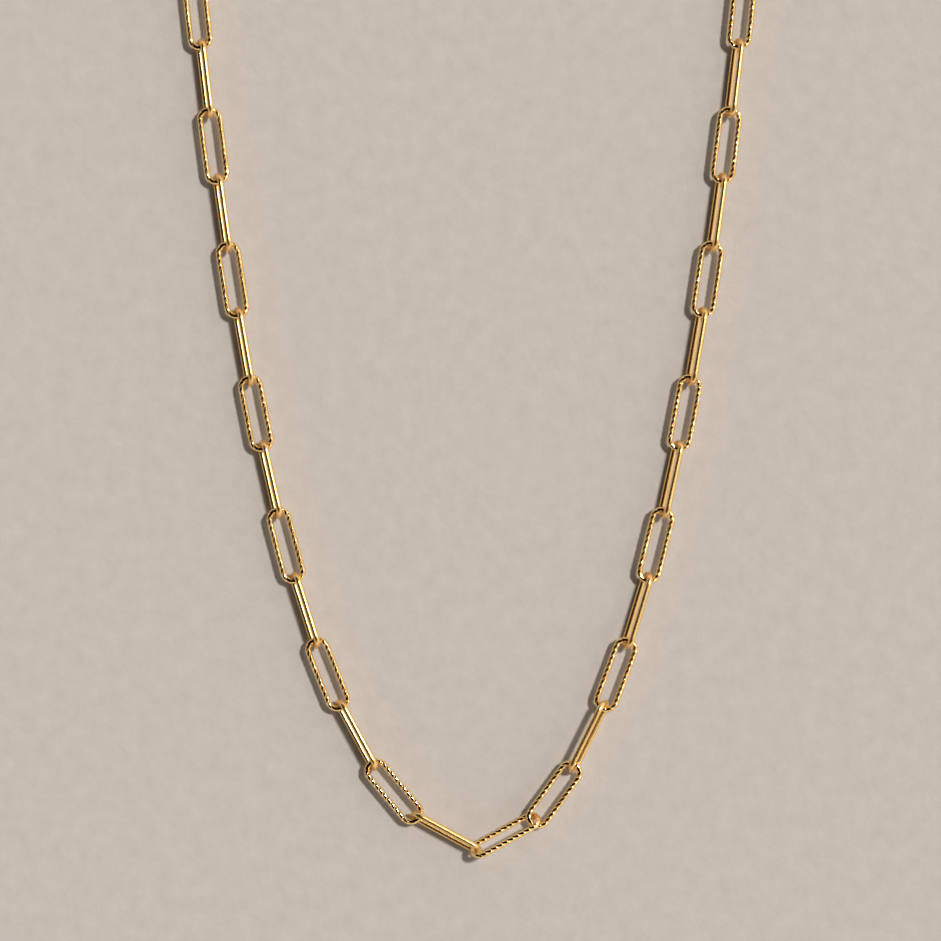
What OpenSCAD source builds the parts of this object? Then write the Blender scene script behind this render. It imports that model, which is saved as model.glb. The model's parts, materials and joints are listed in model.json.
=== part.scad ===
// Paperclip chain necklace, unfastened and laid out flat in the curve that it hangs in.
// Textured links lie flat, plain links stand on edge between them, and every link is
// hooked through the next one. The left strand ends in a sprung lobster clasp and the
// right strand in the ring that the clasp fastens to. Millimetres, +Z up, +Y up the strands.
// The origin is the plain link's end wire at the lowest point of the curve.

/* [Links] */
// Diameter of the wire that every link is bent from
wire = 1.05; // [0.9:0.05:1.1]
// Outer width of a link
link_w = 4.5; // [4.4:0.1:4.8]
// Outer length of a textured link
textured_l = 14; // [12:0.5:16]
// Outer length of a plain link
plain_l = 14.4; // [12:0.2:16]
// Gap left between two hooked wires
play = 0.08; // [0.06:0.01:0.1]
// How far a plain link leans away from standing straight on its edge, in degrees
plain_lean = 17; // [14:1:20]

/* [Curve] */
// Links in each strand, counted up from the lowest point
strand_links = 18; // [12:2:18]
// How much steeper each link is than the one below it, as a slope
slope_step = 0.645; // [0.6:0.005:0.68]
// Where the curve's true lowest point lies, in links to the left of the origin
low_offset = 0.13; // [0.1:0.01:0.15]
// How steeply the lowest link of each strand rises, in degrees
low_rise = 28.5; // [28:0.5:29.5]

/* [Turned link] */
// Roll of the textured link beside the lowest point, in degrees
turned_roll = -53; // [-54:1:-52]
// Pitch of that link along its length, in degrees
turned_pitch = -4.5; // [-5:0.1:-4]
// Extra gap where its far end crosses the next link at a slant
slant_play = 0.36; // [0.34:0.01:0.4]

/* [Clasp] */
// Diameter of the wire of the ring at the end of each strand
ring_wire = 0.85; // [0.8:0.05:0.9]
// Thickness of the clasp's body
clasp_t = 1.9; // [1.8:0.1:2.2]
// Thickness of the flat eye at the clasp's tail
eye_t = 0.9; // [0.8:0.1:1]
// Thickness of the lever inside the body's slot
lever_t = 0.7; // [0.6:0.05:0.8]
// Radius of the rivet that the lever turns on
rivet_r = 0.4; // [0.35:0.05:0.45]

/* [Hidden] */
$fn = 48;
GOLD = [0.86, 0.66, 0.30];
PALE_GOLD = [0.93, 0.76, 0.42];

LEFT = -1;
RIGHT = 1;
SIDES = [LEFT, RIGHT];
end_r = (link_w - wire) / 2;        // centre line of a link's round end
seat = wire + play;                 // between the centres of two hooked wires
slant_seat = wire + slant_play;

// Where the turned link's near end hooks on, from the origin
turned_near = [-1.02, -0.31, 0.955];

// A turned link, a plain link and a textured link are the three ways a link can be laid.
function is_turned(side, k) = side == RIGHT && k == 1;
function is_plain(side, k) = !is_turned(side, k) && k % 2 == 1;
function link_l(side, k) = is_plain(side, k) ? plain_l : textured_l;

// Links and rings on edge lean to the right, except the first plain link up the right strand.
function on_edge(side, k) = (side == RIGHT && k == 3 ? 1 : -1) * (90 - plain_lean);
function roll(side, k) =
    is_turned(side, k) ? turned_roll : is_plain(side, k) ? on_edge(side, k) : 0;
function pitch(side, k) = is_turned(side, k) ? turned_pitch : 0;

// Above its lowest pair of links, a chain that hangs still grows steeper by the same slope at each.
function rise(side, k) = k == 1 ? low_rise : atan(slope_step * (k + side * low_offset));
function heading(side, k) = side == RIGHT ? rise(side, k) : 180 - rise(side, k);
function along(side, k) =
    let (h = heading(side, k), p = pitch(side, k)) [cos(h) * cos(p), sin(h) * cos(p), sin(p)];

// Centre of the end wire where link k hooks on to the link below it.
function near_end(side, k) =
    is_turned(side, k) ? turned_near
    : k == 1 ? [0, 0, 0]
    : is_turned(side, k - 1) ? flat(far_end(side, k - 1)) - slant_seat * along(side, k)
    : is_plain(side, k) ? far_end(side, k - 1) - seat * along(side, k - 1)
    : far_end(side, k - 1) - seat * along(side, k);
function far_end(side, k) = near_end(side, k) + (link_l(side, k) - wire) * along(side, k);
function flat(point) = [point.x, point.y, 0];

function two_digits(k) = str(k < 10 ? "0" : "", k);
function link_name(side, k) = str(
    side == LEFT ? "left_" : "right_", two_digits(k),
    is_plain(side, k) ? "_plain_link" : "_textured_link");

// The fittings carry on from the last links: a ring on edge on both, then the clasp.
last = strand_links;
ring_r = (link_w - ring_wire) / 2;
ring_seat = (wire + ring_wire) / 2 + play;
eye_r = 0.95;                       // hole in the clasp's tail
eye_outer_r = 1.6;
clasp_at = far_end(LEFT, last)
    + (2 * ring_r - ring_seat + eye_r - ring_wire / 2 - play) * along(LEFT, last);

// Clasp, from its tail eye at x = 0 to its tip, in its own flat plane.
pivot = [4.3, -0.5];
hook_centre = [8.3, 0];
hook_r = 2.9;
hook_arm = 1.15;
mouth_r = 5.06;                     // the hook's tip is cut to this distance from the pivot
gate_r = mouth_r - 0.06;            // and the lever's gate passes it
slot_t = lever_t + 0.12;
lever_bore_r = rivet_r + 0.05;

// A link: two straight wires joined by two half rings, lying in the XY plane along X.
module wire_loop(l) {
    run = l - link_w;
    for (side = SIDES) {
        if (run > 0)
            translate([-run / 2, side * end_r, 0])
                rotate([0, 90, 0]) cylinder(h = run, d = wire);
        rotate([0, 0, 90 - side * 90])
            translate([run / 2, 0, 0])
                rotate_extrude(angle = 180, start = -90)
                    translate([end_r, 0]) circle(d = wire);
    }
}

// Lays a child that points along +X from its near end at the origin.
module laid(at, h, p, r) {
    translate(at) rotate([0, -p, h]) rotate([r, 0, 0]) children();
}

module chain_link(side, k) {
    l = link_l(side, k);
    color(is_plain(side, k) ? PALE_GOLD : GOLD)
        laid(near_end(side, k), heading(side, k), pitch(side, k), roll(side, k))
            translate([(l - wire) / 2, 0, 0]) wire_loop(l);
}

// A soldered ring on edge, hooked on the last link of a strand.
module ring_on(side) {
    color(PALE_GOLD)
        laid(far_end(side, last) - ring_seat * along(side, last), heading(side, last), 0,
             on_edge(side, last + 1))
            translate([ring_r, 0, 0])
                rotate_extrude() translate([ring_r, 0]) circle(d = ring_wire);
}

module clasp_jump_ring() { ring_on(LEFT); }

module end_ring() { ring_on(RIGHT); }

module on_clasp() {
    laid(clasp_at, heading(LEFT, last), 0, 0) children();
}

// The eye at the clasp's tail, and the neck that joins it to the barrel.
module tail_outline() {
    circle(r = eye_outer_r);
    translate([0.9, -1]) square([1.6, 2]);
}

// Outline of the tapered barrel and the hook with its mouth.
module body_outline() {
    polygon([[1.6, 0.95], [1.6, -0.95], [3.3, -2.3], [6.1, -2.3], [6.5, 2.25], [3.4, 2.3]]);
    difference() {
        translate(hook_centre) circle(r = hook_r);
        translate(hook_centre) circle(r = hook_r - hook_arm);
        intersection() {
            translate(pivot) circle(r = mouth_r);
            translate([6.1, -4]) square([6, 3.4]);
        }
    }
}

// The slot runs through the barrel from side to side and opens into the hook, for the lever.
module slot_outline() {
    translate([2.3, -3]) square([4.6, 4.1]);
    translate([2.3, 0]) square([3.5, 3]);
}

module clasp_body() {
    color(PALE_GOLD) on_clasp() difference() {
        union() {
            translate([0, 0, -eye_t / 2]) linear_extrude(eye_t) tail_outline();
            translate([0, 0, -clasp_t / 2]) linear_extrude(clasp_t) body_outline();
        }
        translate([0, 0, -slot_t / 2]) linear_extrude(slot_t) slot_outline();
        translate([0, 0, -clasp_t]) cylinder(h = 2 * clasp_t, r = eye_r);
        translate([hook_centre.x, hook_centre.y, -clasp_t])
            cylinder(h = 2 * clasp_t, r = hook_r - hook_arm);
        translate([pivot.x, pivot.y, -clasp_t]) cylinder(h = 2 * clasp_t, r = rivet_r);
    }
}

// The lever's gate closes the hook's mouth, and its tab stands out of the back.
module lever_outline() {
    intersection() {
        translate(pivot) circle(r = gate_r);
        polygon([[4.0, -1.4], [6.3, -2.3], [10.2, -2.75], [10.2, -1.45], [6.4, -1.25], [4.9, 0.2]]);
    }
    translate(pivot) circle(r = 0.95);
    polygon([[3.4, -0.3], [5.2, -0.3], [4.75, 2.5], [4.75, 3.3], [3.85, 3.3], [3.85, 2.5]]);
}

module clasp_lever() {
    color(GOLD) on_clasp() difference() {
        translate([0, 0, -lever_t / 2]) linear_extrude(lever_t) lever_outline();
        translate([pivot.x, pivot.y, -lever_t]) cylinder(h = 2 * lever_t, r = lever_bore_r);
    }
}

module clasp_rivet() {
    color(GOLD) on_clasp()
        translate([pivot.x, pivot.y, -clasp_t / 2 - 0.05]) cylinder(h = clasp_t + 0.1, r = rivet_r);
}

// A bent leaf in the slot, between the body's rear wall and the lever's tab.
module clasp_spring() {
    color("silver") on_clasp() translate([0, 0, -lever_t / 2]) linear_extrude(lever_t)
        polygon([[2.35, -1.2], [2.55, -1.2], [2.55, 0.5], [3.6, 1.25], [3.6, 1.5], [2.35, 0.6]]);
}

for (side = SIDES, k = [1:strand_links])
    chain_link(side, k);
clasp_jump_ring();
clasp_body();
clasp_lever();
clasp_rivet();
clasp_spring();
end_ring();
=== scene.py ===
"""Looks of the paperclip chain necklace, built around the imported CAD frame.

Each link, ring and clasp piece takes its place and size from its own CAD node. Metres throughout.
"""

import json
import math

import bpy
import numpy as np
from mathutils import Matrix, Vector


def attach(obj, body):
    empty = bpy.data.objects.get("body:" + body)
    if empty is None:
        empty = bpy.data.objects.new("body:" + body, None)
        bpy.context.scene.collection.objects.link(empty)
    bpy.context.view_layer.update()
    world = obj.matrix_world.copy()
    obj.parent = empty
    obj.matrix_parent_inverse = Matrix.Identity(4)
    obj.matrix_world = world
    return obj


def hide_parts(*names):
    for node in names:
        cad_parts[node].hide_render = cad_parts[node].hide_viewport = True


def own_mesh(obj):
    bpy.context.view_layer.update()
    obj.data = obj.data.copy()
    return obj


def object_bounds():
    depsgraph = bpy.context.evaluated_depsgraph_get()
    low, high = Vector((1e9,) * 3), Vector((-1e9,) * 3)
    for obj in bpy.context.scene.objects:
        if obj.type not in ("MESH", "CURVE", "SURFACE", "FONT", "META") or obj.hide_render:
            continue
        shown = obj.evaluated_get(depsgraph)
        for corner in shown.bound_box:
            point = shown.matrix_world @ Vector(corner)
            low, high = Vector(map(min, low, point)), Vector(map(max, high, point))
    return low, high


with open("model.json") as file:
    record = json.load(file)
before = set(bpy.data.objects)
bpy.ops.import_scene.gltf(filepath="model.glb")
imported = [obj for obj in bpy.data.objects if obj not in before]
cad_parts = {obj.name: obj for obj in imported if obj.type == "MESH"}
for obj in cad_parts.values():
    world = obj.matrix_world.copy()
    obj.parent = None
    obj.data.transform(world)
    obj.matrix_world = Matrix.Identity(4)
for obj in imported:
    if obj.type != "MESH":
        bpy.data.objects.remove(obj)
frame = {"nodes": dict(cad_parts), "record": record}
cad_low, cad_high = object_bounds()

MM = 0.001

# The view: straight down on the chain, which lies in the XY plane.
VIEW_CENTRE = Vector((-1.56 * MM, 67.45 * MM, 0))
VIEW_WIDTH = 167 * MM
CAMERA_HEIGHT = 750 * MM
CAMERA_CLIP = (0.01, 20)
SENSOR = 36.0
FLOOR_SIZE = 6.0

# The cuts that wind round a textured link's wire, like a screw with two starts.
CUT_PITCH = 1.12 * MM           # from one cut to the next along the wire
CUT_STARTS = 2
CUT_DEPTH = 0.28                # of the wire's radius
CUT_HALF_WIDTH = 0.19           # of the pitch
CUT_AT_BENDS = 0.25             # share of the depth left round the link's ends
SHALLOW_BELOW = 0.55            # sine of the angle round an end, where the cuts begin to deepen
DEEPENS_OVER = 0.35             # and how much more of the sine brings them to full depth

# Rings of points along the wire, and points round it.
CUT_STATIONS = np.array([-0.5, -0.34, -0.19, -0.09, 0.0, 0.09, 0.19, 0.34])     # pitches from a cut
PLAIN_STATIONS = 160
ROUND_STEPS = 36

# Light: a soft high sun from the upper right, and a dome with a dark patch almost overhead.
SUN_TOWARDS = (1.08, 0.62, 2.2)
SUN_STRENGTH = 2.8
SUN_SOFTNESS = 6.5              # degrees across
SUN_COLOUR = (1.0, 0.92, 0.80)
DOME_COLOUR = (0.88, 0.80, 0.67)
DOME_LEFT = 0.7                 # strength at the far left and the far right
DOME_RIGHT = 1.3
DARK_TOWARDS = (-0.36, 0.05, 1.0)
DARK_FROM = 0.50                # cosine of the angle from the patch's middle to its edge
DARK_FULL = 0.58                # and to where it is fully dark

# The cast clasp's eased edges.
CLASP_VOXEL = 0.05 * MM
CLASP_EASING = 8                # rounds of smoothing

RECORD = frame["record"]
BODY_OF = {n: body for body, nodes in RECORD["behaviour"]["bodies"].items() for n in nodes}
SLOT_OF = {s["node"]: s["material_slot"] for s in RECORD["subparts"]}


# ---------------------------------------------------------------- materials
# A noise's scale is in features a metre, apart from the drawn streaks, which follow the wire.

def adder(tree):
    """A function that adds a node to the tree with its inputs or properties set by name."""
    def add(kind, **values):
        node = tree.nodes.new(kind)
        for key, value in values.items():
            socket = key.replace("_", " ")
            if socket in node.inputs:
                node.inputs[socket].default_value = value
            else:
                setattr(node, key, value)
        return node
    return add


def new_material(name):
    """An empty material: the material, its shader, and functions that add and link nodes."""
    material = bpy.data.materials.new(name)
    material.use_nodes = True
    tree = material.node_tree
    return material, tree.nodes["Principled BSDF"], adder(tree), tree.links.new


def gold(name, bright, deep, roughness, streaks):
    """Gold plate with slight tone changes, fine handling scratches, drawn streaks, and a painted
    highlight in the cuts, which are coloured the bright tone.

    Bright and deep are the two tones, and streaks is how strongly the drawing marks show.
    """
    material, shader, add, link = new_material(name)
    shader.inputs["Metallic"].default_value = 1.0
    place = add("ShaderNodeTexCoord")

    wire = add("ShaderNodeUVMap", uv_map="wire")
    stretch = add("ShaderNodeMapping", Scale=(0.10, 15.0, 1.0))
    link(wire.outputs["UV"], stretch.inputs["Vector"])
    drawn = add("ShaderNodeTexNoise", Scale=1.0, Detail=3.0, Roughness=0.6)
    link(stretch.outputs["Vector"], drawn.inputs["Vector"])
    tone = add("ShaderNodeTexNoise", Scale=420.0, Detail=3.0, Roughness=0.6)
    link(place.outputs["Object"], tone.inputs["Vector"])
    blend = add("ShaderNodeMix", data_type="FLOAT", Factor=streaks)
    link(tone.outputs["Fac"], blend.inputs["A"])
    link(drawn.outputs["Fac"], blend.inputs["B"])
    spread = add("ShaderNodeMapRange", From_Min=0.32, From_Max=0.68)
    link(blend.outputs["Result"], spread.inputs["Value"])
    colour = add("ShaderNodeMix", data_type="RGBA")
    colour.inputs["A"].default_value = (*bright, 1)
    colour.inputs["B"].default_value = (*deep, 1)
    link(spread.outputs["Result"], colour.inputs["Factor"])

    # Painted highlight: the deeper a point lies in a cut, the closer it is coloured to the bright
    # tone, standing in for light glinting off the cut faces.
    cut = add("ShaderNodeAttribute", attribute_name="cut")
    cut_painted_highlight = add("ShaderNodeMix", data_type="RGBA")
    cut_painted_highlight.inputs["B"].default_value = (*bright, 1)
    link(cut.outputs["Fac"], cut_painted_highlight.inputs["Factor"])
    link(colour.outputs["Result"], cut_painted_highlight.inputs["A"])
    link(cut_painted_highlight.outputs["Result"], shader.inputs["Base Color"])

    fine = add("ShaderNodeTexNoise", Scale=4200.0, Detail=5.0, Roughness=0.7)
    link(place.outputs["Object"], fine.inputs["Vector"])
    gloss = add("ShaderNodeMapRange", From_Min=0.3, From_Max=0.7,
                To_Min=roughness * 0.7, To_Max=roughness * 1.4)
    link(fine.outputs["Fac"], gloss.inputs["Value"])
    link(gloss.outputs["Result"], shader.inputs["Roughness"])

    streak_bump = add("ShaderNodeBump", Strength=streaks, Distance=0.02 * MM)
    link(drawn.outputs["Fac"], streak_bump.inputs["Height"])
    scratch_bump = add("ShaderNodeBump", Strength=0.15, Distance=0.01 * MM)
    link(fine.outputs["Fac"], scratch_bump.inputs["Height"])
    link(streak_bump.outputs["Normal"], scratch_bump.inputs["Normal"])
    link(scratch_bump.outputs["Normal"], shader.inputs["Normal"])
    return material


def spring_steel():
    """Rolled spring steel with a fine brushed grain."""
    material, shader, add, link = new_material("spring_steel")
    shader.inputs["Metallic"].default_value = 1.0
    place = add("ShaderNodeTexCoord")
    grain = add("ShaderNodeTexNoise", Scale=5200.0, Detail=4.0)
    link(place.outputs["Object"], grain.inputs["Vector"])
    colour = add("ShaderNodeMix", data_type="RGBA")
    colour.inputs["A"].default_value = (0.46, 0.46, 0.45, 1)
    colour.inputs["B"].default_value = (0.66, 0.65, 0.62, 1)
    link(grain.outputs["Fac"], colour.inputs["Factor"])
    link(colour.outputs["Result"], shader.inputs["Base Color"])
    gloss = add("ShaderNodeMapRange", To_Min=0.2, To_Max=0.4)
    link(grain.outputs["Fac"], gloss.inputs["Value"])
    link(gloss.outputs["Result"], shader.inputs["Roughness"])
    return material


def floor_card():
    """Pale painted card with a soft uneven tooth."""
    material, shader, add, link = new_material("pale_card")
    shader.inputs["Roughness"].default_value = 0.85
    place = add("ShaderNodeTexCoord")
    clouds = add("ShaderNodeTexNoise", Scale=330.0, Detail=4.0, Roughness=0.6)
    link(place.outputs["Object"], clouds.inputs["Vector"])
    colour = add("ShaderNodeMix", data_type="RGBA")
    colour.inputs["A"].default_value = (0.455, 0.436, 0.444, 1)
    colour.inputs["B"].default_value = (0.565, 0.541, 0.550, 1)
    link(clouds.outputs["Fac"], colour.inputs["Factor"])
    link(colour.outputs["Result"], shader.inputs["Base Color"])
    tooth = add("ShaderNodeTexNoise", Scale=620.0, Detail=5.0, Roughness=0.6)
    link(place.outputs["Object"], tooth.inputs["Vector"])
    bump = add("ShaderNodeBump", Strength=0.6, Distance=0.12 * MM)
    link(tooth.outputs["Fac"], bump.inputs["Height"])
    link(bump.outputs["Normal"], shader.inputs["Normal"])
    return material


BRIGHT_GOLD = (1.0, 0.73, 0.35)
DEEP_GOLD = (0.90, 0.55, 0.20)
MATERIALS = {
    "textured_gold": gold("textured_gold", BRIGHT_GOLD, DEEP_GOLD, roughness=0.07, streaks=0.1),
    "plain_gold": gold("plain_gold", BRIGHT_GOLD, DEEP_GOLD, roughness=0.27, streaks=1.0),
    "clasp_gold": gold("clasp_gold", BRIGHT_GOLD, DEEP_GOLD, roughness=0.36, streaks=0.0),
    "lever_gold": gold("lever_gold", BRIGHT_GOLD, DEEP_GOLD, roughness=0.40, streaks=0.0),
    "spring_steel": spring_steel(),
}


# ---------------------------------------------------------------- pieces

def node_frame(name):
    """Centre, axes as columns (along, across, normal) and size along them, of a CAD node's mesh."""
    mesh = frame["nodes"][name].data
    mesh.calc_loop_triangles()
    points = np.empty(len(mesh.vertices) * 3)
    mesh.vertices.foreach_get("co", points)
    points = points.reshape(-1, 3)
    corners = np.empty(len(mesh.loop_triangles) * 3, dtype=np.int32)
    mesh.loop_triangles.foreach_get("vertices", corners)
    a, b, c = (points[corners.reshape(-1, 3)[:, i]] for i in range(3))
    areas = np.linalg.norm(np.cross(b - a, c - a), axis=1)
    middles = (a + b + c) / 3
    centre = (middles * areas[:, None]).sum(0) / areas.sum()
    spread = ((middles - centre).T * areas) @ (middles - centre)
    axes = np.linalg.eigh(spread)[1]
    along = axes[:, 2] * (1 if axes[1, 2] > 0 else -1)
    normal = axes[:, 0] * (1 if axes[2, 0] > 0 else -1)
    axes = np.column_stack([along, np.cross(normal, along), normal])
    reach = (points - centre) @ axes
    return centre, axes, reach.max(0) - reach.min(0)


def tube_mesh(name, points, lengths, depths, twist):
    """A closed tube from rings of points, where each ring is a turn that ends `twist` rings back.

    Its UV map "wire" runs along the wire in millimetres and once round it, and its attribute
    "cut" says how deep in a cut each point lies, which the gold materials use to paint a highlight
    in the cuts.
    """
    count, sides = points.shape[:2]
    i, j = np.meshgrid(np.arange(count), np.arange(sides), indexing="ij")
    back = np.where(j + 1 == sides, twist, 0)
    i2, j2 = i + 1, (j + 1) % sides
    rings = np.stack([i, i2, i2 - back, i - back], -1) % count
    faces = rings * sides + np.stack([j, j, j2, j2], -1)
    mesh = bpy.data.meshes.new(name)
    mesh.from_pydata(points.reshape(-1, 3).tolist(), [], faces.reshape(-1, 4).tolist())
    mesh.polygons.foreach_set("use_smooth", [True] * len(mesh.polygons))

    step = np.diff(lengths, append=lengths[:1] + lengths[-1] + lengths[1]) / MM
    u = lengths[i] / MM
    v = j / sides
    uv = mesh.uv_layers.new(name="wire")
    corners = np.stack([u, v, u + step[i], v, u + step[i], v + 1 / sides, u, v + 1 / sides], -1)
    uv.data.foreach_set("uv", corners.ravel())
    cut = mesh.attributes.new("cut", "FLOAT", "POINT")
    cut.data.foreach_set("value", depths.ravel())
    return mesh


def cut_rings(total):
    """Rings along a wire of this length that is cut like a screw.

    Returns where each ring starts, how far it lags in one turn, how deep in a cut it lies
    and how many rings back its turn ends.
    """
    cuts = round(total / CUT_PITCH)
    starts = (np.arange(cuts)[:, None] + 0.5 + CUT_STATIONS[None, :]).ravel() / cuts * total
    groove = np.tile(np.clip(1 - np.abs(CUT_STATIONS) / CUT_HALF_WIDTH, 0, 1), cuts)
    return starts, CUT_STARTS * total / cuts, groove, CUT_STARTS * len(CUT_STATIONS)


def plain_rings(total):
    """The same for a wire with no cuts, whose rings stand straight across it."""
    starts = np.arange(PLAIN_STATIONS) * total / PLAIN_STATIONS
    return starts, 0, np.zeros(PLAIN_STATIONS), 0


def wire_loop(node, textured):
    """A link or ring of round wire, laid where its CAD node is, and cut all along if textured."""
    centre, axes, (length, width, wire) = node_frame(node)
    run = length - width
    end_r = (width - wire) / 2
    half_turn = math.pi * end_r
    total = 2 * (run + half_turn)
    rings, lag, groove, twist = cut_rings(total) if textured else plain_rings(total)
    turns = np.arange(ROUND_STEPS) / ROUND_STEPS
    s = (rings[:, None] - lag * turns[None, :]) % total
    phi = turns[None, :] * 2 * math.pi

    # The loop's middle line: along one side, round an end, back and round the other end.
    knots = np.cumsum([0, run, half_turn, run, half_turn])
    middle_x = np.interp(s, knots, np.array([-1, 1, 1, -1, -1]) * run / 2)
    theta = np.interp(s, knots, np.radians([-90, -90, 90, 90, 270]))

    on_straight = np.clip((np.abs(np.sin(theta)) - SHALLOW_BELOW) / DEEPENS_OVER, 0, 1)
    depths = groove[:, None] * (CUT_AT_BENDS + (1 - CUT_AT_BENDS) * on_straight)
    r = wire / 2 * (1 - CUT_DEPTH * depths)
    out = end_r + r * np.cos(phi)
    local = np.stack([middle_x + out * np.cos(theta), out * np.sin(theta), r * np.sin(phi)], -1)
    return tube_mesh(node, centre + local @ axes.T, rings, depths, twist)


def eased(node):
    """A CAD node's shape with its edges eased, as casting and polishing leave them."""
    rough = bpy.data.objects.new("rough_" + node, frame["nodes"][node].data.copy())
    bpy.context.scene.collection.objects.link(rough)
    remesh = rough.modifiers.new("remesh", "REMESH")
    remesh.mode = "VOXEL"
    remesh.voxel_size = CLASP_VOXEL
    remesh.use_smooth_shade = True
    ease = rough.modifiers.new("ease", "SMOOTH")
    ease.iterations = CLASP_EASING
    finished = rough.evaluated_get(bpy.context.evaluated_depsgraph_get())
    mesh = bpy.data.meshes.new_from_object(finished)
    mesh.materials.clear()
    bpy.data.objects.remove(rough)
    return mesh


def add_piece(node, mesh):
    """Shows a mesh in place of a CAD node, on the same body and with the same finish."""
    piece = bpy.data.objects.new("look_" + node, mesh)
    bpy.context.scene.collection.objects.link(piece)
    mesh.materials.append(MATERIALS[SLOT_OF[node]])
    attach(piece, BODY_OF[node])
    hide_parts(node)
    return piece


def add_spring(node):
    """The leaf spring, which the lever presses flat against the wall behind it as it opens; here it
    keeps its CAD shape, on a mesh of its own.
    """
    mesh = frame["nodes"][node].data.copy()
    mesh.materials.clear()
    spring = add_piece(node, mesh)
    along_clasp = Vector(node_frame("clasp_body")[1][:, 0])
    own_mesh(spring)


for node in frame["nodes"]:
    if node.endswith("_link") or node.endswith("_ring"):
        add_piece(node, wire_loop(node, "textured" in node))
    elif node == "clasp_spring":
        add_spring(node)
    else:
        add_piece(node, eased(node))


# ---------------------------------------------------------------- stage, light and camera

def add_floor(z):
    """The pale card that the necklace lies on."""
    bpy.ops.mesh.primitive_plane_add(size=FLOOR_SIZE, location=(0, VIEW_CENTRE.y, z))
    floor = bpy.context.object
    floor.name = "floor"
    floor.data.materials.append(floor_card())


def add_sun(name, towards, strength, soft_deg, colour):
    """A sun that shines from the given direction."""
    light = bpy.data.lights.new(name, "SUN")
    light.energy = strength
    light.angle = math.radians(soft_deg)
    light.color = colour
    lamp = bpy.data.objects.new(name, light)
    lamp.rotation_euler = Vector(towards).to_track_quat("Z", "Y").to_euler()
    bpy.context.scene.collection.objects.link(lamp)


def set_world():
    """A studio dome: a dark patch above, which the gold mirrors as its dark lines, and the
    rest lit, more from the right than from the left."""
    world = bpy.data.worlds.new("studio")
    world.use_nodes = True
    tree = world.node_tree
    add = adder(tree)
    link = tree.links.new
    place = add("ShaderNodeTexCoord")
    split = add("ShaderNodeSeparateXYZ")
    link(place.outputs["Generated"], split.inputs["Vector"])
    sideways = add("ShaderNodeMapRange", From_Min=-1.0, From_Max=1.0,
                   To_Min=DOME_LEFT, To_Max=DOME_RIGHT)
    link(split.outputs["X"], sideways.inputs["Value"])

    overhead = add("ShaderNodeVectorMath", operation="DOT_PRODUCT")
    overhead.inputs[1].default_value = Vector(DARK_TOWARDS).normalized()
    link(place.outputs["Generated"], overhead.inputs[0])
    patch = add("ShaderNodeMapRange", From_Min=DARK_FROM, From_Max=DARK_FULL,
                To_Min=1.0, To_Max=0.0)
    link(overhead.outputs["Value"], patch.inputs["Value"])
    strength = add("ShaderNodeMath", operation="MULTIPLY")
    link(sideways.outputs["Result"], strength.inputs[0])
    link(patch.outputs["Result"], strength.inputs[1])

    background = tree.nodes["Background"]
    background.inputs["Color"].default_value = (*DOME_COLOUR, 1)
    link(strength.outputs["Value"], background.inputs["Strength"])
    bpy.context.scene.world = world


def add_camera():
    """Looks straight down, framed on the width of the view at the chain's own height."""
    data = bpy.data.cameras.new("camera")
    data.sensor_width = SENSOR
    data.lens = SENSOR * CAMERA_HEIGHT / VIEW_WIDTH
    data.clip_start, data.clip_end = CAMERA_CLIP
    camera = bpy.data.objects.new("camera", data)
    camera.location = VIEW_CENTRE + Vector((0, 0, CAMERA_HEIGHT))
    bpy.context.scene.collection.objects.link(camera)
    bpy.context.scene.camera = camera


add_floor(cad_low.z)
add_sun("key", SUN_TOWARDS, SUN_STRENGTH, SUN_SOFTNESS, SUN_COLOUR)
set_world()
add_camera()
bpy.context.scene.view_settings.view_transform = "Standard"
